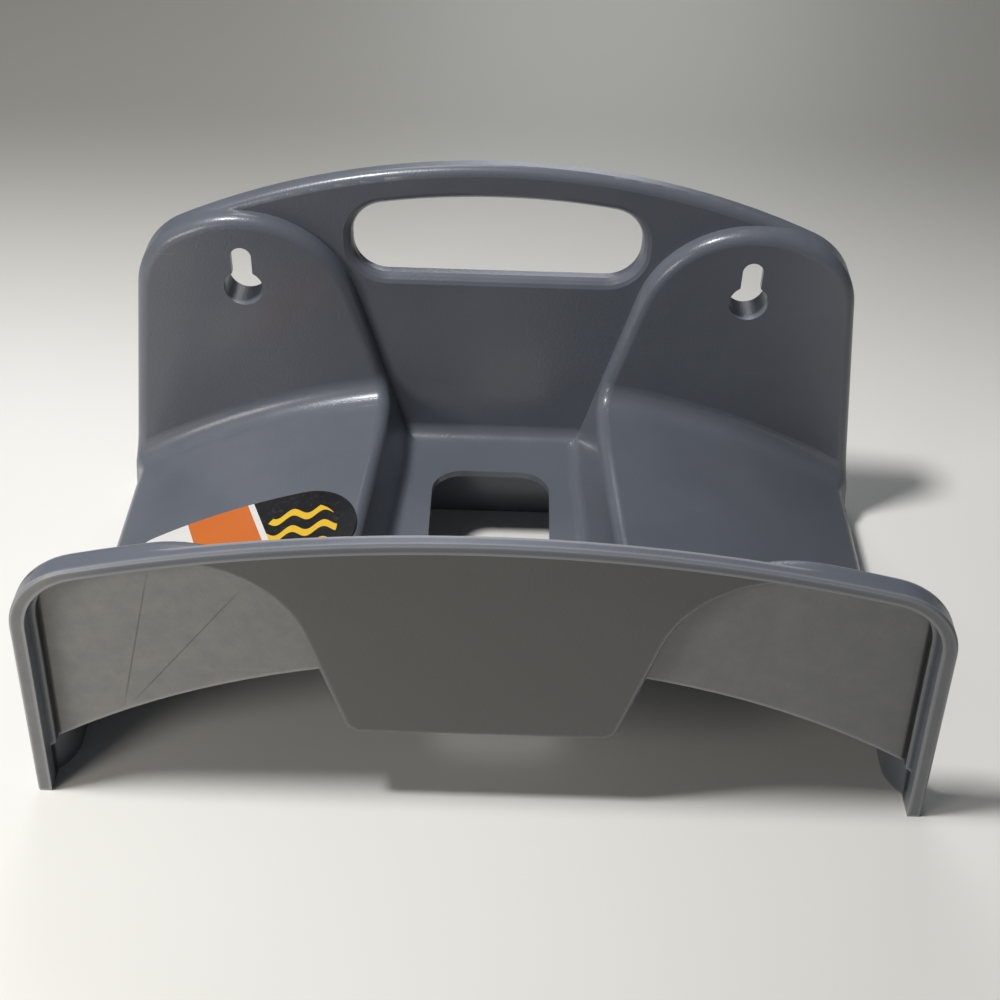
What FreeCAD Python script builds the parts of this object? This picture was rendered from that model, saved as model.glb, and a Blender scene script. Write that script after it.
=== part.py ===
"""Wall hanger for a garden hose, one injection moulding of constant wall.

Frame: +X right, +Y into the wall, +Z up, front faces -Y. The origin lies on the
wall plane, midway between the two keyhole circles. All sizes are millimetres.
"""
import FreeCAD
import Part
import math
import os
from FreeCAD import Vector

# Moulding
wall = 2.5
edge_round = 4.0
past = 20.0              # how far a cutter runs past the faces that it opens

# Back plate, seen from the front
plate_crown = 44.8
plate_arch_radius = 262.0
plate_lip = 5.0              # plate foot beyond the skirts, on each side
plate_splay = 7.4            # degrees, the sides widen downwards
plate_corner_radius = 28.0
base_z = -97.3
panel_depth = 6.0            # recessed middle panel, wall plane to front face
boss_depth = 12.0            # raised bosses, wall plane to front face
boss_corner_radius = 40.0
panel_edge_round = 3.0

# Hand grip slot in the middle panel
grip_half_width = 49.5
grip_floor = 2.9
grip_crown = 33.1
grip_arch_radius = 250.0
grip_corner_radius = 12.0
grip_lip_bevel = 2.2
grip_lip_break = 0.8          # second bevel on both borders of the first

# Keyholes in the bosses
keyhole_spacing = 174.0
keyhole_head_radius = 6.75
keyhole_shank_radius = 3.5
keyhole_rise = 12.2          # circle centre to the centre of the slot's round end

# Saddle that the hose lies on
saddle_crown = -39.0
saddle_arch_radius = 246.0
skirt_half_width = 131.7
shoulder_round = 5.0
crease_radius = 7.0          # saddle into plate, flange and legs

# Channel that runs down the panel, along the saddle and up the flange
channel_floor = -65.0
channel_half_at_plate = 31.5
channel_half_at_flange = 38.3
channel_lean = 0.28          # sideways step of the channel walls for each step up
channel_bend_radius = 150.0
channel_straight = 20.0      # length of the parallel ends of the channel
floor_crease_radius = 5.0
channel_edge_round = 5.5     # outer edges under the channel

# Window in the channel floor
window_half_width = 21.0
window_back = -28.0
window_front = -112.0
window_corner_radius = 11.0

# Front flange
rim_front = -153.7
rim_crown = 10.8
rim_arch_radius = 480.0
rim_lip = 6.8                # leg foot beyond the skirts, on each side
rim_splay = 3.24             # degrees
rim_corner_radius = 25.0
rim_height = 3.5
rim_edge_bevel = 0.7
leg_width = 4.4
web_recess = 7.5             # rim front to web front
apron_recess = 1.5           # rim front to apron front
apron_flare_radius = 35.0
apron_edge_bevel = 1.0
ledge_depth = 4.5            # rim front to the ledge beside the web
ledge_inset = 2.0
leg_flare_radius = 14.0

# Derived planes and heights
web_back = rim_front + web_recess + wall
apron_back = rim_front + apron_recess + wall
lean_length = math.hypot(1.0, channel_lean)
plate_half_width = skirt_half_width + plate_lip + base_z * math.tan(math.radians(plate_splay))
rim_half_width = skirt_half_width + rim_lip + base_z * math.tan(math.radians(rim_splay))
high = plate_crown + past
low = base_z - past


def at(x, z, y=0.0):
    """Point of the front view at x, z, on the plane y."""
    return Vector(x, y, z)


def mirrored(p):
    return Vector(-p.x, p.y, p.z)


def arc_through(centre, radius, start, end):
    """Short arc about centre from start to end."""
    middle = (start - centre).normalize() + (end - centre).normalize()
    return Part.Arc(start, centre + middle.normalize() * radius, end).toShape()


def arch_corner(foot, up, out, crown, arch_radius, radius):
    """Round the corner of a straight side with an arched top.

    The side passes through foot along up, and out points away from the panel.
    Returns the arc's centre, its end on the side and its end on the arch.
    """
    arch_centre = at(0.0, crown - arch_radius)
    start = foot - out * radius - arch_centre
    reach = arch_radius - radius
    half = start.dot(up)
    travel = -half + math.sqrt(half ** 2 - start.dot(start) + reach ** 2)
    centre = arch_centre + start + up * travel
    on_arch = arch_centre + (centre - arch_centre) * (arch_radius / reach)
    return centre, centre + out * radius, on_arch


def arched_panel(half_width, splay, base, crown, arch_radius, corner_radius):
    """Outline with a flat base, splayed sides and an arched top with round corners."""
    angle = math.radians(splay)
    up = at(-math.sin(angle), math.cos(angle))
    out = at(math.cos(angle), math.sin(angle))
    foot = at(half_width, 0.0)
    centre, side, top = arch_corner(foot, up, out, crown, arch_radius, corner_radius)
    base_corner = at(half_width - base * math.tan(angle), base)
    edges = [
        Part.makeLine(mirrored(base_corner), base_corner),
        Part.makeLine(base_corner, side),
        arc_through(centre, corner_radius, side, top),
        Part.Arc(top, at(0.0, crown), mirrored(top)).toShape(),
        arc_through(mirrored(centre), corner_radius, mirrored(top), mirrored(side)),
        Part.makeLine(mirrored(side), mirrored(base_corner)),
    ]
    return Part.Wire(edges)


def flared_strip(half_at_floor, floor, crown, arch_radius, flare_radius):
    """Outline of the channel seen from the front, flaring out under an arched edge."""
    up = at(channel_lean, 1.0).normalize()
    out = at(-1.0, channel_lean).normalize()
    foot = at(half_at_floor, floor)
    centre, side, top = arch_corner(foot, up, out, crown, arch_radius, flare_radius)
    head = at(top.x, high)
    edges = [
        Part.makeLine(mirrored(foot), foot),
        Part.makeLine(foot, side),
        arc_through(centre, flare_radius, side, top),
        Part.makeLine(top, head),
        Part.makeLine(head, mirrored(head)),
        Part.makeLine(mirrored(head), mirrored(top)),
        arc_through(mirrored(centre), flare_radius, mirrored(top), mirrored(side)),
        Part.makeLine(mirrored(side), mirrored(foot)),
    ]
    return Part.Wire(edges)


def prism(outline, y_from, y_to):
    """Solid of an outline in the front view, between two planes."""
    face = Part.Face(outline)
    face.translate(Vector(0.0, y_from, 0.0))
    return face.extrude(Vector(0.0, y_to - y_from, 0.0))


def edges_on(shape, test):
    """Edges whose ends and middle all pass the test."""
    chosen = []
    for edge in shape.Edges:
        first, last = edge.ParameterRange
        spots = [edge.valueAt(first + (last - first) * part) for part in (0.0, 0.5, 1.0)]
        if all(test(spot) for spot in spots):
            chosen.append(edge)
    return chosen


def near(a, b):
    return abs(a - b) < 1e-4


def plate_outline(inset):
    slope = math.cos(math.radians(plate_splay))
    return arched_panel(
        plate_half_width - inset / slope,
        plate_splay,
        base_z + inset,
        plate_crown - inset,
        plate_arch_radius - inset,
        plate_corner_radius - inset,
    )


def rim_outline(top_inset, side_inset, base):
    slope = math.cos(math.radians(rim_splay))
    return arched_panel(
        rim_half_width - side_inset / slope,
        rim_splay,
        base,
        rim_crown - top_inset,
        rim_arch_radius - top_inset,
        rim_corner_radius - top_inset,
    )


def saddle_outline(inset, half_width, base):
    return arched_panel(
        half_width,
        0.0,
        base,
        saddle_crown - inset,
        saddle_arch_radius - inset,
        shoulder_round - min(inset, shoulder_round / 2.0),
    )


def grip_slot(grow, y_from, y_to):
    """Hand slot, grown outwards for the lip around it."""
    outline = arched_panel(
        grip_half_width + grow,
        0.0,
        grip_floor - grow,
        grip_crown + grow,
        grip_arch_radius + grow,
        grip_corner_radius + grow,
    )
    slot = prism(outline, y_from, y_to)
    foot = edges_on(slot, lambda p: near(p.z, grip_floor - grow) and near(abs(p.x), grip_half_width + grow))
    return slot.makeFillet(grip_corner_radius + grow, foot)


def panel_plate():
    """The plate at the depth of its middle panel, with its front edge rounded."""
    plate = prism(plate_outline(0.0), 0.0, -panel_depth)
    rim = edges_on(plate, lambda p: near(p.y, -panel_depth))
    rim = [edge for edge in rim if not near(edge.CenterOfMass.z, base_z)]
    return plate.makeFillet(panel_edge_round, rim)


def block():
    """Plate, saddle and flange as one solid, before anything is hollowed out."""
    plate_front = -boss_depth - crease_radius - 1.0
    flange_back = web_back + crease_radius + 1.0
    plate = prism(plate_outline(0.0), 0.0, plate_front)
    loaf = prism(saddle_outline(-crease_radius, skirt_half_width + crease_radius, base_z),
                 plate_front + 1.0, flange_back - 1.0)
    flange = prism(rim_outline(0.0, 0.0, base_z), flange_back, rim_front)
    front = edges_on(flange, lambda p: near(p.y, rim_front))
    front = [edge for edge in front if not near(edge.CenterOfMass.z, base_z)]
    flange = flange.makeChamfer(rim_edge_bevel, front)
    return plate.fuse([loaf, flange])


def hose_space():
    """Room for the hose: above the saddle and outside its skirts, from bosses to flange."""
    reach = skirt_half_width + 4.0 * past
    room = Part.makeBox(2.0 * reach, web_back * -1.0 - boss_depth, high - low,
                        Vector(-reach, web_back, low))
    room = room.cut(prism(saddle_outline(0.0, skirt_half_width, low - past), past, rim_front - past))
    creases = edges_on(room, lambda p: (near(p.y, -boss_depth) or near(p.y, web_back))
                       and abs(p.x) < skirt_half_width + 1e-3 and p.z < saddle_crown + 1e-3)
    return room.makeFillet(crease_radius, creases)


def channel_trough(grow, y_back, y_front):
    """Trapezoid trough of the channel, grown outwards for its outer side.

    Each half is the floor's plan, parallel at both ends, drawn up along its leaning wall.
    """
    height = saddle_crown + past - channel_floor + grow
    extra = grow * (lean_length - channel_lean)
    narrow = channel_half_at_plate + extra
    wide = channel_half_at_flange + extra
    bend_back = -boss_depth - channel_straight
    bend_front = web_back + channel_straight
    turn = math.atan2(wide - narrow, bend_back - bend_front)
    trim = channel_bend_radius * math.tan(turn / 2.0)
    along = Vector(math.sin(turn), -math.cos(turn), 0.0)
    inner = -channel_lean * height
    z = channel_floor - grow
    corner_back = at(narrow, z, bend_back)
    corner_front = at(wide, z, bend_front)
    a = corner_back + Vector(0.0, trim, 0.0)
    b = corner_back + along * trim
    c = corner_front - along * trim
    d = corner_front - Vector(0.0, trim, 0.0)
    centre_back = a + Vector(channel_bend_radius, 0.0, 0.0)
    centre_front = d - Vector(channel_bend_radius, 0.0, 0.0)
    plan = Part.Wire([
        Part.makeLine(at(inner, z, y_back), at(narrow, z, y_back)),
        Part.makeLine(at(narrow, z, y_back), a),
        arc_through(centre_back, channel_bend_radius, a, b),
        Part.makeLine(b, c),
        arc_through(centre_front, channel_bend_radius, c, d),
        Part.makeLine(d, at(wide, z, y_front)),
        Part.makeLine(at(wide, z, y_front), at(inner, z, y_front)),
        Part.makeLine(at(inner, z, y_front), at(inner, z, y_back)),
    ])
    right = Part.Face(plan).extrude(Vector(channel_lean * height, 0.0, height))
    left = right.mirror(Vector(0.0, 0.0, 0.0), Vector(1.0, 0.0, 0.0))
    return right.fuse(left).removeSplitter()


def channel_space():
    """Everything cut away for the channel: panel recess, trough and flange recess."""
    panel = prism(
        flared_strip(channel_half_at_plate, channel_floor, plate_crown, plate_arch_radius, boss_corner_radius),
        0.0,
        -boss_depth - channel_straight / 2.0,
    )
    panel = panel.cut(panel_plate())
    flange = prism(
        flared_strip(channel_half_at_flange, channel_floor, rim_crown, rim_arch_radius,
                     apron_flare_radius + wall),
        web_back + channel_straight / 2.0,
        apron_back,
    )
    trough = channel_trough(0.0, -panel_depth, apron_back)
    space = trough.fuse([panel, flange]).removeSplitter()
    floor = edges_on(space, lambda p: near(p.z, channel_floor))
    return space.makeFillet(floor_crease_radius, floor)


def lies_on(face, shape):
    """True where the middle of a face lies on the skin of another shape."""
    u_low, u_high, v_low, v_high = face.ParameterRange
    for u_part in (0.5, 0.3, 0.7, 0.1, 0.9):
        for v_part in (0.5, 0.3, 0.7, 0.1, 0.9):
            u = u_low + (u_high - u_low) * u_part
            v = v_low + (v_high - v_low) * v_part
            spot = face.valueAt(u, v)
            if face.isPartOfDomain(u, v):
                return shape.distToShape(Part.Vertex(spot))[0] < 1e-3
    return False


def rounded_hose_side(body, space):
    """Round the border of the surface that the hose lies against, above the base."""
    border = {}
    for face in body.Faces:
        if lies_on(face, space):
            for edge in face.Edges:
                key = edge.hashCode()
                border[key] = None if key in border else edge
    edges = [edge for edge in border.values() if edge is not None]
    edges = [edge for edge in edges if not near(edge.CenterOfMass.z, base_z)]
    return body.makeFillet(edge_round, edges)


def with_grip(body):
    """Cut the hand slot and ease its lip on the front of the panel with two bevels."""
    body = body.cut(grip_slot(0.0, past, -panel_depth - past))
    for bevel, reach in ((grip_lip_bevel, 0.0), (grip_lip_break, grip_lip_bevel)):
        lip = edges_on(body, lambda p: (near(p.y, -panel_depth) or near(p.y, reach - panel_depth))
                       and abs(p.x) < grip_half_width + reach + 1.0
                       and grip_floor - 1.0 < p.z + reach and p.z - reach < grip_crown + 1.0)
        body = body.makeChamfer(bevel, lip)
    return body


def channel_shell():
    """Outer side of the channel, from the panel under the saddle to the front of the apron."""
    apron_front = rim_front + apron_recess
    floor = channel_floor - wall
    half = channel_half_at_flange + wall * (lean_length - channel_lean)
    apron = prism(
        flared_strip(half, floor, rim_crown - rim_height, rim_arch_radius - rim_height, apron_flare_radius),
        web_back + channel_straight / 2.0,
        apron_front,
    )
    shell = apron.fuse(channel_trough(wall, wall - panel_depth, apron_front)).removeSplitter()
    below = edges_on(shell, lambda p: near(p.z, floor))
    below = [edge for edge in below if abs(edge.CenterOfMass.x) > half / 2.0]
    shell = shell.makeFillet(channel_edge_round, below)
    front = edges_on(shell, lambda p: near(p.y, apron_front) and p.z < rim_crown - rim_height + 1e-3)
    return shell.makeChamfer(apron_edge_bevel, front)


def underside():
    """Hollow under the saddle and the pockets beside the apron, around the channel."""
    skirt_inside = skirt_half_width - wall
    front = rim_front - past
    hollow = prism(saddle_outline(wall, skirt_inside, low), -boss_depth, front)
    mouth_back = web_back + crease_radius + wall
    mouth = prism(
        arched_panel(rim_half_width - leg_width, rim_splay, low, saddle_crown - wall,
                     saddle_arch_radius - wall, wall),
        mouth_back,
        front,
    )
    for side in (-1.0, 1.0):
        post = Part.makeCylinder(leg_flare_radius, high - low,
                                 at(side * (skirt_inside + leg_flare_radius), low, mouth_back))
        mouth = mouth.cut(post)
    rim_pocket = prism(rim_outline(rim_height, leg_width, low), front, rim_front + ledge_depth)
    web_pocket = prism(rim_outline(rim_height, leg_width + ledge_inset, low), front, rim_front + web_recess)
    return hollow.fuse([mouth, rim_pocket, web_pocket]).cut(channel_shell())


def keyhole(side, head_radius, neck_radius, y_from, y_to):
    """Round hole for a screw head and the slot above it, up to a round end."""
    centre = at(side * keyhole_spacing / 2.0, 0.0, y_from)
    along = Vector(0.0, y_to - y_from, 0.0)
    length = along.Length
    head = Part.makeCylinder(head_radius, length, centre, along)
    end = Part.makeCylinder(neck_radius, length, centre + at(0.0, keyhole_rise), along)
    slot = Part.makeBox(2.0 * neck_radius, length, keyhole_rise,
                        at(centre.x - neck_radius, 0.0, min(y_from, y_to)))
    return head.fuse([end, slot]).removeSplitter()


def plate_hollow():
    """Open back of the plate, around the lip of the grip slot and the keyhole tubes."""
    tray = prism(plate_outline(wall), past, wall - panel_depth)
    bosses = prism(plate_outline(wall), past, wall - boss_depth)
    panel = prism(
        flared_strip(channel_half_at_plate + wall * (lean_length - channel_lean), channel_floor - wall,
                     plate_crown - wall, plate_arch_radius - wall, boss_corner_radius - wall),
        past,
        -boss_depth,
    )
    hollow = tray.fuse(bosses.cut(panel))
    hollow = hollow.cut(grip_slot(wall, past, -panel_depth))
    for side in (-1.0, 1.0):
        guard = keyhole_head_radius + wall
        hollow = hollow.cut(keyhole(side, guard, guard, past, -boss_depth))
        run = keyhole(side, keyhole_head_radius, keyhole_head_radius, past, wall - boss_depth)
        neck = keyhole(side, keyhole_head_radius, keyhole_shank_radius, past, -boss_depth - past)
        hollow = hollow.fuse([run, neck])
    return hollow


def window():
    """Rounded opening through the floor of the channel."""
    opening = Part.makeBox(2.0 * window_half_width, window_back - window_front, past,
                           Vector(-window_half_width, window_front, channel_floor - past / 2.0))
    corners = [edge for edge in opening.Edges if near(edge.Length, past)]
    return opening.makeFillet(window_corner_radius, corners)


def hose_hanger():
    space = hose_space()
    body = block().cut(space).cut(channel_space())
    body = rounded_hose_side(body, space.Shells[0])
    body = with_grip(body)
    return body.cut([underside(), plate_hollow(), window()]).removeSplitter()


if __name__ == "__main__":
    os.makedirs("parts", exist_ok=True)
    hanger = hose_hanger()
    print("valid", hanger.isValid(), "solids", len(hanger.Solids), "volume", round(hanger.Volume))
    hanger.exportStep("parts/hose_hanger.step")
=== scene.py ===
"""Studio scene of a garden hose hanger: one plastic moulding with a printed label."""
import math

import bmesh
import bpy
from mathutils import Euler, Matrix, Vector


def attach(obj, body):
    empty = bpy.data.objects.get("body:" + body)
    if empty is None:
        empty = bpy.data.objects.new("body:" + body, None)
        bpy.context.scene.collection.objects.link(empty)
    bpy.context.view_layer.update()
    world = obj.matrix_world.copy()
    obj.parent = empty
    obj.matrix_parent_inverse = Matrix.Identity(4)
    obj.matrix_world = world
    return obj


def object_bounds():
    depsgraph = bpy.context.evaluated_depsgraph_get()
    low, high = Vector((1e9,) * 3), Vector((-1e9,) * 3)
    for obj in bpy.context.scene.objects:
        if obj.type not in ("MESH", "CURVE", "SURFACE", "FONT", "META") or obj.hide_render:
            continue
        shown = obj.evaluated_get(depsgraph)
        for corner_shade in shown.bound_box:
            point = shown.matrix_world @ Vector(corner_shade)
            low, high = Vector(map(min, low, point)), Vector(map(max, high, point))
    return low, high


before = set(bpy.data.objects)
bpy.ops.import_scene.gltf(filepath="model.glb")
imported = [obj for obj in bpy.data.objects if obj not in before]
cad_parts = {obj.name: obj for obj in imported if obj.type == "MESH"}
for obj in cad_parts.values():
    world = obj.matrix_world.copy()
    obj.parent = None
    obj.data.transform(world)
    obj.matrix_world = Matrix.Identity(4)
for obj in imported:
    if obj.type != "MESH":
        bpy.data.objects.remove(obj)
cad_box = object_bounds()

# Hanger
# The hanger is one injection moulding in blue-grey polypropylene, coloured right through.
# Its mould was spark-eroded, so the skin has a fine even grain and a satin shine.
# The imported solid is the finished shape, and only its material is made here.

MM = 0.001


def linear(hex_colour):
    """Turn an sRGB hex colour into the linear colour that a shader takes."""
    parts = [int(hex_colour[start:start + 2], 16) / 255.0 for start in (1, 3, 5)]
    return [part / 12.92 if part <= 0.04045 else ((part + 0.055) / 1.055) ** 2.4 for part in parts] + [1.0]


def add_node(tree, kind, values=None, links=None, **settings):
    """Add a node with its settings, the values of its inputs and the links into them."""
    node = tree.nodes.new(kind)
    for name, setting in settings.items():
        setattr(node, name, setting)
    for socket, value in (values or {}).items():
        node.inputs[socket].default_value = value
    for socket, source in (links or {}).items():
        tree.links.new(source, node.inputs[socket])
    return node


# Moulded polypropylene: a dull blue-grey with soft clouds, satin in the light, scuffed by use, with painted light,
# shade and highlight on the flange.
plastic = bpy.data.materials.new("moulded_polypropylene")
plastic.use_nodes = True
tree = plastic.node_tree
skin = tree.nodes["Principled BSDF"]
skin.inputs["IOR"].default_value = 1.49
place = add_node(tree, "ShaderNodeTexCoord").outputs["Object"]

# The melt flow leaves clouds of a slightly paler tone.
cloud_size = 70.0
clouds = add_node(tree, "ShaderNodeTexNoise", {"Scale": 1.0 / (cloud_size * MM), "Detail": 4.0, "Roughness": 0.6},
                  {"Vector": place})
clouds = add_node(tree, "ShaderNodeMapRange", {"From Min": 0.3, "From Max": 0.7}, {"Value": clouds.outputs["Fac"]})
tone = add_node(tree, "ShaderNodeMix", {6: linear("#61656D"), 7: linear("#6B6F77")}, {0: clouds.outputs["Result"]},
                data_type="RGBA")

# Hose and fittings rub pale streaks into it, in patches.
streak_length = 33.0
streak_width = 2.4
streak_turn = (0.3, 0.5, 0.2)
rubbed_size = 45.0
streaks = add_node(tree, "ShaderNodeMapping",
                   {"Rotation": streak_turn,
                    "Scale": (1.0 / (streak_length * MM), 1.0 / (streak_width * MM), 1.0 / (streak_width * MM))},
                   {"Vector": place})
streaks = add_node(tree, "ShaderNodeTexNoise", {"Scale": 1.0, "Detail": 3.0, "Roughness": 0.6},
                   {"Vector": streaks.outputs["Vector"]})
streaks = add_node(tree, "ShaderNodeMapRange", {"From Min": 0.66, "From Max": 0.74, "To Max": 0.35},
                   {"Value": streaks.outputs["Fac"]})
rubbed = add_node(tree, "ShaderNodeTexNoise", {"Scale": 1.0 / (rubbed_size * MM), "Detail": 2.0}, {"Vector": place})
rubbed = add_node(tree, "ShaderNodeMapRange", {"From Min": 0.5, "From Max": 0.7}, {"Value": rubbed.outputs["Fac"]})
streaks = add_node(tree, "ShaderNodeMath", None, {0: streaks.outputs["Result"], 1: rubbed.outputs["Result"]},
                   operation="MULTIPLY")
tone = add_node(tree, "ShaderNodeMix", {7: linear("#909299")}, {0: streaks.outputs["Value"], 6: tone.outputs[2]},
                data_type="RGBA")

# Pale dust clings to the front of the flange: to its two recessed fields and to the legs at its ends. It is laid on
# more thickly on the left, and that part is painted light that brightens the left, where more light falls.
field_y = -146.2
rim_y = -153.5
face_depth = 0.4             # how far a point may lie from a face and still count as on it
rim_depth = 0.5
front_reach = 120.0
leg_start = 100.0
dust_and_light_left = 0.62
dust_and_light_right = 0.30
dust_and_light_on_legs = 0.6
dust_cloud_size = 7.0
spot = add_node(tree, "ShaderNodeSeparateXYZ", None, {0: place})
facing = add_node(tree, "ShaderNodeSeparateXYZ", None, {0: add_node(tree, "ShaderNodeTexCoord").outputs["Normal"]})
facing = add_node(tree, "ShaderNodeMapRange", {"From Min": -0.5, "From Max": -0.8}, {"Value": facing.outputs["Y"]})
across = add_node(tree, "ShaderNodeMath", None, {0: spot.outputs["X"]}, operation="ABSOLUTE")
legs = add_node(tree, "ShaderNodeMapRange",
                {"From Min": leg_start * MM, "From Max": front_reach * MM, "To Max": dust_and_light_on_legs},
                {"Value": across.outputs["Value"]})
rim = add_node(tree, "ShaderNodeMath", {1: rim_y * MM, 2: rim_depth * MM}, {0: spot.outputs["Y"]},
               operation="COMPARE")
field = add_node(tree, "ShaderNodeMath", {1: field_y * MM, 2: face_depth * MM}, {0: spot.outputs["Y"]},
                 operation="COMPARE")
field = add_node(tree, "ShaderNodeMath", None,
                 {0: rim.outputs["Value"], 1: legs.outputs["Result"], 2: field.outputs["Value"]},
                 operation="MULTIPLY_ADD")
field = add_node(tree, "ShaderNodeMath", None, {0: field.outputs["Value"], 1: facing.outputs["Result"]},
                 operation="MULTIPLY")
# Painted light: the pale mix grows towards the left, standing in for the light that falls more strongly there.
dust = add_node(tree, "ShaderNodeMapRange",
                {"From Min": -front_reach * MM, "From Max": front_reach * MM, "To Min": dust_and_light_left,
                 "To Max": dust_and_light_right},
                {"Value": spot.outputs["X"]})
dust = add_node(tree, "ShaderNodeMath", None, {0: dust.outputs["Result"], 1: field.outputs["Value"]},
                operation="MULTIPLY")
dust_and_light_clouds = add_node(tree, "ShaderNodeTexNoise", {"Scale": 1.0 / (dust_cloud_size * MM), "Detail": 6.0, "Roughness": 0.7},
                 {"Vector": place})
dust_and_light_clouds = add_node(tree, "ShaderNodeMapRange", {"From Min": 0.35, "From Max": 0.65, "To Min": 0.72, "To Max": 1.18},
                 {"Value": dust_and_light_clouds.outputs["Fac"]})
dust = add_node(tree, "ShaderNodeMath", None, {0: dust.outputs["Value"], 1: dust_and_light_clouds.outputs["Result"]},
                operation="MULTIPLY")
tone = add_node(tree, "ShaderNodeMix", {7: linear("#9D9990")}, {0: dust.outputs["Value"], 6: tone.outputs[2]},
                data_type="RGBA")

# The apron between the fields is painted darker and warmer: a painted shade.
apron_y = -152.2
apron_shade_share = 0.72
apron_painted_shade = add_node(tree, "ShaderNodeMath", {1: apron_y * MM, 2: face_depth * MM}, {0: spot.outputs["Y"]},
                 operation="COMPARE")
apron_painted_shade = add_node(tree, "ShaderNodeMath", None, {0: apron_painted_shade.outputs["Value"], 1: facing.outputs["Result"]},
                 operation="MULTIPLY")
apron_painted_shade = add_node(tree, "ShaderNodeMath", {1: apron_shade_share}, {0: apron_painted_shade.outputs["Value"]}, operation="MULTIPLY")
tone = add_node(tree, "ShaderNodeMix", {7: linear("#55534C")}, {0: apron_painted_shade.outputs["Value"], 6: tone.outputs[2]},
                data_type="RGBA")

# A painted shade darkens the corner between each field and the ledge along the leg, which leans out by the legs'
# splay.
leg_splay = 3.24
ledge_edge = 126.6           # from the middle to the ledge, at the keyholes' height
shade_width = 1.5             # from the ledge to where the painted shade ends
shade_core = 0.7              # from the ledge to where it is at its darkest
shade_share = 0.85
corner_y = -147.3
corner_depth = 1.5
corner_shade = add_node(tree, "ShaderNodeMath", {1: math.tan(math.radians(leg_splay))},
                  {0: spot.outputs["Z"], 2: across.outputs["Value"]}, operation="MULTIPLY_ADD")
corner_shade = add_node(tree, "ShaderNodeMapRange",
                  {"From Min": (ledge_edge - shade_width) * MM, "From Max": (ledge_edge - shade_core) * MM,
                   "To Max": shade_share},
                  {"Value": corner_shade.outputs["Value"]})
deep = add_node(tree, "ShaderNodeMath", {1: corner_y * MM, 2: corner_depth * MM}, {0: spot.outputs["Y"]},
                operation="COMPARE")
corner_shade = add_node(tree, "ShaderNodeMath", None, {0: corner_shade.outputs["Result"], 1: deep.outputs["Value"]},
                  operation="MULTIPLY")
tone = add_node(tree, "ShaderNodeMix", {7: linear("#151514")}, {0: corner_shade.outputs["Value"], 6: tone.outputs[2]},
                data_type="RGBA")

# Two long dark scratches cross the left field. Each has its middle, its lean in degrees and half its length.
scratch_depth = 2.0
scratch_half_width = 0.3
scratch_share = 0.45
for scratch_x, scratch_z, lean, half_length in ((-101.5, -36.7, -75.9, 31.0), (-87.0, -38.8, -52.6, 32.0)):
    scratch = add_node(tree, "ShaderNodeMapping",
                       {"Location": [MM * value for value in (scratch_x, field_y, scratch_z)],
                        "Rotation": (0.0, math.radians(lean), 0.0),
                        "Scale": [MM * value for value in (half_length, scratch_depth, scratch_half_width)]},
                       {"Vector": place}, vector_type="TEXTURE")
    scratch = add_node(tree, "ShaderNodeVectorMath", None, {0: scratch.outputs["Vector"]}, operation="ABSOLUTE")
    scratch = add_node(tree, "ShaderNodeSeparateXYZ", None, {0: scratch.outputs["Vector"]})
    away = add_node(tree, "ShaderNodeMath", None, {0: scratch.outputs["X"], 1: scratch.outputs["Y"]},
                    operation="MAXIMUM")
    away = add_node(tree, "ShaderNodeMath", None, {0: away.outputs["Value"], 1: scratch.outputs["Z"]},
                    operation="MAXIMUM")
    scratch = add_node(tree, "ShaderNodeMapRange", {"From Min": 1.0, "From Max": 0.6, "To Max": scratch_share},
                       {"Value": away.outputs["Value"]})
    tone = add_node(tree, "ShaderNodeMix", {7: linear("#2F3033")}, {0: scratch.outputs["Result"], 6: tone.outputs[2]},
                    data_type="RGBA")

# The flange's sharp edges are painted pale: partly wear from knocks and rubbing, partly a painted highlight along
# them.
edge_reach = 1.2
flange_start = -142.0
flange_back = -132.0
wear_and_highlight_share = 0.36
edge_wear_and_highlight = add_node(tree, "ShaderNodeAmbientOcclusion", {"Distance": edge_reach * MM}, inside=True, only_local=True,
                 samples=8)
edge_wear_and_highlight = add_node(tree, "ShaderNodeMapRange", {"From Min": 0.95, "From Max": 0.84}, {"Value": edge_wear_and_highlight.outputs["AO"]})
wear_and_highlight_zone = add_node(tree, "ShaderNodeMapRange",
                {"From Min": flange_start * MM, "From Max": flange_back * MM, "To Min": wear_and_highlight_share, "To Max": 0.0},
                {"Value": spot.outputs["Y"]})
edge_wear_and_highlight = add_node(tree, "ShaderNodeMath", None, {0: edge_wear_and_highlight.outputs["Result"], 1: wear_and_highlight_zone.outputs["Result"]},
                 operation="MULTIPLY")
tone = add_node(tree, "ShaderNodeMix", {7: linear("#C0C0C0")}, {0: edge_wear_and_highlight.outputs["Value"], 6: tone.outputs[2]},
                data_type="RGBA")
tree.links.new(tone.outputs[2], skin.inputs["Base Color"])

# Handling polishes some places more than others.
polish_size = 17.0
polish = add_node(tree, "ShaderNodeTexNoise", {"Scale": 1.0 / (polish_size * MM), "Detail": 3.0}, {"Vector": place})
polish = add_node(tree, "ShaderNodeMapRange", {"From Min": 0.3, "From Max": 0.7, "To Min": 0.29, "To Max": 0.37},
                  {"Value": polish.outputs["Fac"]})
tree.links.new(polish.outputs["Result"], skin.inputs["Roughness"])

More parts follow.
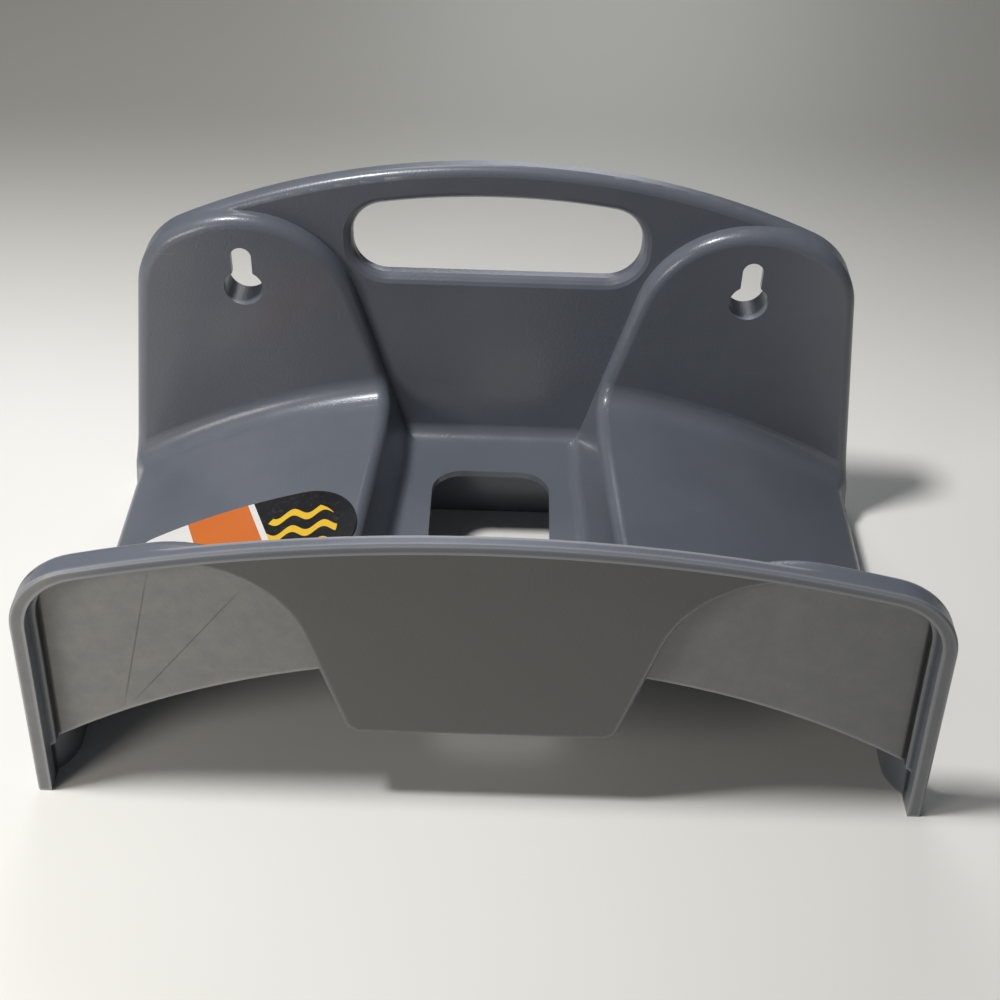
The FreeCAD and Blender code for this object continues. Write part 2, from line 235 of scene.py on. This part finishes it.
# Shrinkage makes the walls wave a little. The real grain is near 0.15 mm and drawn coarser, so that it shows.
wave_size = 36.0
wave_height = 1.0
grain_size = 0.8
grain_height = 0.2
waves = add_node(tree, "ShaderNodeTexNoise", {"Scale": 1.0 / (wave_size * MM), "Detail": 2.0}, {"Vector": place})
waves = add_node(tree, "ShaderNodeBump", {"Strength": 0.12, "Distance": wave_height * MM},
                 {"Height": waves.outputs["Fac"]})
grain = add_node(tree, "ShaderNodeTexNoise", {"Scale": 1.0 / (grain_size * MM), "Detail": 2.0}, {"Vector": place})
grain = add_node(tree, "ShaderNodeBump", {"Strength": 0.40, "Distance": grain_height * MM},
                 {"Height": grain.outputs["Fac"], "Normal": waves.outputs["Normal"]})
tree.links.new(grain.outputs["Normal"], skin.inputs["Normal"])

# The tops of the grain are polished by use and add a thin bright gleam, which the dirt on the flange's front dulls.
gleam_share = 0.28
gleam = add_node(tree, "ShaderNodeMapRange",
                 {"From Min": field_y * MM, "From Max": flange_start * MM, "To Max": gleam_share},
                 {"Value": spot.outputs["Y"]})
tree.links.new(gleam.outputs["Result"], skin.inputs["Coat Weight"])
tree.links.new(waves.outputs["Normal"], skin.inputs["Coat Normal"])
skin.inputs["Coat Roughness"].default_value = 0.15

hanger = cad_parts["hose_hanger"]
hanger.data.materials.clear()
hanger.data.materials.append(plastic)

# Label
# The label is a glossy printed vinyl film, die-cut with one round end and two small corners.
# It is pressed onto the left shoulder of the saddle, whose arch it follows.

saddle_crown = -39.0
saddle_radius = 246.0
label_along = -84.3          # along the arch, from the crown to the label's middle
label_y = -85.2
label_turn = 2.6
label_length = 82.8
label_height = 39.6
label_corner = 5.0
label_film = 0.15
corner_steps = 20
label_cuts = 28
weld_reach = 0.001
smooth_angle = 30.0

bpy.ops.object.select_all(action="DESELECT")
bpy.ops.mesh.primitive_plane_add(size=1.0)
label = bpy.context.object
label.name = "label"
label.scale = (label_length * MM, label_height * MM, 1.0)
bpy.ops.object.transform_apply(location=False, rotation=False, scale=True)

bpy.ops.object.mode_set(mode="EDIT")
bpy.ops.mesh.select_mode(type="VERT")
for side, radius in ((1.0, label_height / 2.0), (-1.0, label_corner)):
    outline = bmesh.from_edit_mesh(label.data)
    for vertex in outline.verts:
        vertex.select = vertex.co.x * side > (label_length / 2.0 - label_corner) * MM
    outline.select_flush_mode()
    bmesh.update_edit_mesh(label.data)
    bpy.ops.mesh.bevel(offset=radius * MM, segments=corner_steps, profile=0.5, affect="VERTICES")
bpy.ops.mesh.select_all(action="SELECT")
bpy.ops.mesh.remove_doubles(threshold=weld_reach * MM)
bpy.ops.object.mode_set(mode="OBJECT")

label.rotation_euler = (0.0, 0.0, math.radians(label_turn))
bpy.ops.object.transform_apply(location=False, rotation=True, scale=False)
bpy.ops.object.mode_set(mode="EDIT")
for cut in range(1, label_cuts):
    bpy.ops.mesh.select_all(action="SELECT")
    bpy.ops.mesh.bisect(plane_co=(label_length * MM * (cut / label_cuts - 0.5), 0.0, 0.0), plane_no=(1.0, 0.0, 0.0))
bpy.ops.object.mode_set(mode="OBJECT")

slope = label_along / saddle_radius
label.rotation_euler = (0.0, slope, 0.0)
label.location = Vector((saddle_radius * math.sin(slope), label_y,
                         saddle_crown - saddle_radius + saddle_radius * math.cos(slope))) * MM
bpy.ops.object.transform_apply(location=True, rotation=True, scale=False)

bpy.ops.object.empty_add(location=(0.0, 0.0, (saddle_crown - saddle_radius) * MM), rotation=(math.pi / 2.0, 0.0, 0.0))
arch_axis = bpy.context.object
bpy.ops.object.select_all(action="DESELECT")
label.select_set(True)
bpy.context.view_layer.objects.active = label
press = label.modifiers.new("press", "CAST")
press.cast_type = "CYLINDER"
press.object = arch_axis
press.use_transform = True
press.factor = 1.0
press.use_radius_as_size = False
press.size = saddle_radius * MM
film = label.modifiers.new("film", "SOLIDIFY")
film.thickness = label_film * MM
film.offset = 1.0
bpy.ops.object.modifier_apply(modifier=press.name)
bpy.ops.object.modifier_apply(modifier=film.name)
bpy.data.objects.remove(arch_axis)
bpy.ops.object.shade_smooth_by_angle(angle=math.radians(smooth_angle))

# Printed vinyl: flat inks under a clear varnish, a little dulled by dust.
vinyl = bpy.data.materials.new("printed_vinyl")
vinyl.use_nodes = True
tree = vinyl.node_tree
ink = tree.nodes["Principled BSDF"]
ink.inputs["IOR"].default_value = 1.53

# The print is laid out in millimetres, from the centre of the round end.
sheet = add_node(tree, "ShaderNodeUVMap", uv_map="UVMap")
sheet = add_node(tree, "ShaderNodeMapping",
                 {"Location": (label_height / 2.0 - label_length, -label_height / 2.0, 0.0),
                  "Scale": (label_length, label_height, 1.0)},
                 {"Vector": sheet.outputs["UV"]})
sheet = add_node(tree, "ShaderNodeSeparateXYZ", None, {0: sheet.outputs["Vector"]})

# Slanted bands: a white tail, an orange field, a thin white line and a black round end.
band_slant = 0.35
orange_start = -36.0
line_start = -13.0
black_start = -10.8
bands = add_node(tree, "ShaderNodeMath", {1: band_slant}, {0: sheet.outputs["Y"], 2: sheet.outputs["X"]},
                 operation="MULTIPLY_ADD")
print_tone = add_node(tree, "ShaderNodeMath", {1: orange_start}, {0: bands.outputs["Value"]},
                      operation="GREATER_THAN")
print_tone = add_node(tree, "ShaderNodeMix", {6: linear("#E4E1DA"), 7: linear("#D17032")},
                      {0: print_tone.outputs["Value"]}, data_type="RGBA")
band = add_node(tree, "ShaderNodeMath", {1: line_start}, {0: bands.outputs["Value"]}, operation="GREATER_THAN")
print_tone = add_node(tree, "ShaderNodeMix", {7: linear("#E4E1DA")},
                      {0: band.outputs["Value"], 6: print_tone.outputs[2]}, data_type="RGBA")
band = add_node(tree, "ShaderNodeMath", {1: black_start}, {0: bands.outputs["Value"]}, operation="GREATER_THAN")
print_tone = add_node(tree, "ShaderNodeMix", {7: linear("#1A1A1C")},
                      {0: band.outputs["Value"], 6: print_tone.outputs[2]}, data_type="RGBA")

# Three yellow ripples lie across the black end, inside an even margin.
ripple_length = 11.0
ripple_height = 1.7
ripple_spacing = 8.4
ripple_half_width = 1.7
ripple_margin = 13.2
ripple = add_node(tree, "ShaderNodeMath", {1: 2.0 * math.pi / ripple_length}, {0: sheet.outputs["X"]},
                  operation="MULTIPLY")
ripple = add_node(tree, "ShaderNodeMath", None, {0: ripple.outputs["Value"]}, operation="SINE")
ripple = add_node(tree, "ShaderNodeMath", {1: ripple_height}, {0: ripple.outputs["Value"], 2: sheet.outputs["Y"]},
                  operation="MULTIPLY_ADD")
ripple = add_node(tree, "ShaderNodeMath", {1: ripple_spacing / 2.0}, {0: ripple.outputs["Value"]},
                  operation="PINGPONG")
ripple = add_node(tree, "ShaderNodeMath", {1: ripple_half_width}, {0: ripple.outputs["Value"]},
                  operation="LESS_THAN")
margin = add_node(tree, "ShaderNodeCombineXYZ", None, {"X": sheet.outputs["X"], "Y": sheet.outputs["Y"]})
margin = add_node(tree, "ShaderNodeVectorMath", None, {0: margin.outputs["Vector"]}, operation="LENGTH")
margin = add_node(tree, "ShaderNodeMath", {1: ripple_margin}, {0: margin.outputs["Value"]}, operation="LESS_THAN")
ripple = add_node(tree, "ShaderNodeMath", None, {0: ripple.outputs["Value"], 1: margin.outputs["Value"]},
                  operation="MULTIPLY")
ripple = add_node(tree, "ShaderNodeMath", None, {0: ripple.outputs["Value"], 1: band.outputs["Value"]},
                  operation="MULTIPLY")
print_tone = add_node(tree, "ShaderNodeMix", {7: linear("#EBBE32")},
                      {0: ripple.outputs["Value"], 6: print_tone.outputs[2]}, data_type="RGBA")

# Dust and fine wear dull the inks and the varnish.
dust_size = 1.4
gloss_size = 8.0
place = add_node(tree, "ShaderNodeTexCoord").outputs["Object"]
dust = add_node(tree, "ShaderNodeTexNoise", {"Scale": 1.0 / (dust_size * MM), "Detail": 3.0}, {"Vector": place})
dust = add_node(tree, "ShaderNodeMapRange", {"From Min": 0.55, "From Max": 0.75, "To Max": 0.12},
                {"Value": dust.outputs["Fac"]})
print_tone = add_node(tree, "ShaderNodeMix", {7: linear("#8F8C86")},
                      {0: dust.outputs["Result"], 6: print_tone.outputs[2]}, data_type="RGBA")
tree.links.new(print_tone.outputs[2], ink.inputs["Base Color"])
gloss = add_node(tree, "ShaderNodeTexNoise", {"Scale": 1.0 / (gloss_size * MM), "Detail": 2.0}, {"Vector": place})
gloss = add_node(tree, "ShaderNodeMapRange", {"From Min": 0.3, "From Max": 0.7, "To Min": 0.28, "To Max": 0.38},
                 {"Value": gloss.outputs["Fac"]})
tree.links.new(gloss.outputs["Result"], ink.inputs["Roughness"])

label.data.materials.append(vinyl)
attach(label, "root")

# Floor
# The floor is a broad pale board, painted matt, that the hanger stands on.
# It only carries the hanger's shadow and isn't part of the object.

floor_size = 12.0            # in metres
bpy.ops.object.select_all(action="DESELECT")
bpy.ops.mesh.primitive_plane_add(size=floor_size)
floor = bpy.context.object
floor.name = "floor"
floor.location = (0.0, 0.0, cad_box[0][2])
bpy.ops.object.transform_apply(location=True, rotation=False, scale=False)

# Matt paint: a warm white with faint broad clouds, and a painted shade that greys it towards the back, where less
# light reaches.
paint = bpy.data.materials.new("matt_paint")
paint.use_nodes = True
tree = paint.node_tree
coat = tree.nodes["Principled BSDF"]
coat.inputs["Roughness"].default_value = 0.55
shade_size = 330.0
falloff_start = 0.0
falloff_end = 340.0
place = add_node(tree, "ShaderNodeTexCoord").outputs["Object"]
shades = add_node(tree, "ShaderNodeTexNoise", {"Scale": 1.0 / (shade_size * MM), "Detail": 3.0}, {"Vector": place})
shades = add_node(tree, "ShaderNodeMapRange", {"From Min": 0.3, "From Max": 0.7}, {"Value": shades.outputs["Fac"]})
shades = add_node(tree, "ShaderNodeMix", {6: linear("#EAE7DF"), 7: linear("#F1EEE7")}, {0: shades.outputs["Result"]},
                  data_type="RGBA")
spot = add_node(tree, "ShaderNodeSeparateXYZ", None, {0: place})
painted_falloff = add_node(tree, "ShaderNodeMapRange", {"From Min": falloff_start * MM, "From Max": falloff_end * MM},
                   {"Value": spot.outputs["Y"]}, interpolation_type="SMOOTHSTEP")
shades = add_node(tree, "ShaderNodeMix", {7: linear("#918F86")}, {0: painted_falloff.outputs["Result"], 6: shades.outputs[2]},
                  data_type="RGBA")
tree.links.new(shades.outputs[2], coat.inputs["Base Color"])
floor.data.materials.append(paint)

# Light and camera
# A soft key lamp hangs above the hanger on the left, a dim one stands low in front on the left,
# and two more light the plate from behind.
# The camera looks down from the front, as in the photograph.

hanger_middle = Vector((0.0, -70.0, -30.0)) * MM

# Each lamp has its place and width in metres.
for name, lamp_spot, width, watts, colour in (
        ("key", (-0.400, -0.190, 0.990), 0.17, 10.8, "#FCFDFF"),
        ("low", (-0.440, -0.460, 0.180), 0.20, 0.92, "#FFFAF4"),
        ("back", (-0.150, 0.637, 0.813), 0.40, 1.5, "#F9FBFF"),
        ("rear", (0.100, 0.950, 0.300), 0.50, 2.1, "#F9FBFF")):
    bpy.ops.object.light_add(type="AREA", location=lamp_spot)
    lamp = bpy.context.object
    lamp.name = name
    lamp.data.shape = "DISK"
    lamp.data.size = width
    lamp.data.energy = watts
    lamp.data.color = linear(colour)[:3]
    lamp.rotation_euler = (hanger_middle - Vector(lamp_spot)).to_track_quat("-Z", "Y").to_euler()

studio = bpy.data.worlds.new("studio")
studio.use_nodes = True
studio.node_tree.nodes["Background"].inputs["Color"].default_value = linear("#DCE8FF")
studio.node_tree.nodes["Background"].inputs["Strength"].default_value = 0.05
bpy.context.scene.world = studio
bpy.context.scene.view_settings.view_transform = "Standard"

camera_spot = Vector((3.5, -452.9, 278.2)) * MM
camera_pitch = 40.0
camera_roll = 1.75
camera_lens = 54.0
sensor_width = 36.0
aim = Euler((math.radians(90.0 - camera_pitch), 0.0, 0.0)).to_matrix()
aim = aim @ Matrix.Rotation(math.radians(camera_roll), 3, "Z")
bpy.ops.object.camera_add(location=camera_spot, rotation=aim.to_euler())
camera = bpy.context.object
camera.data.lens = camera_lens
camera.data.sensor_width = sensor_width
bpy.context.scene.camera = camera
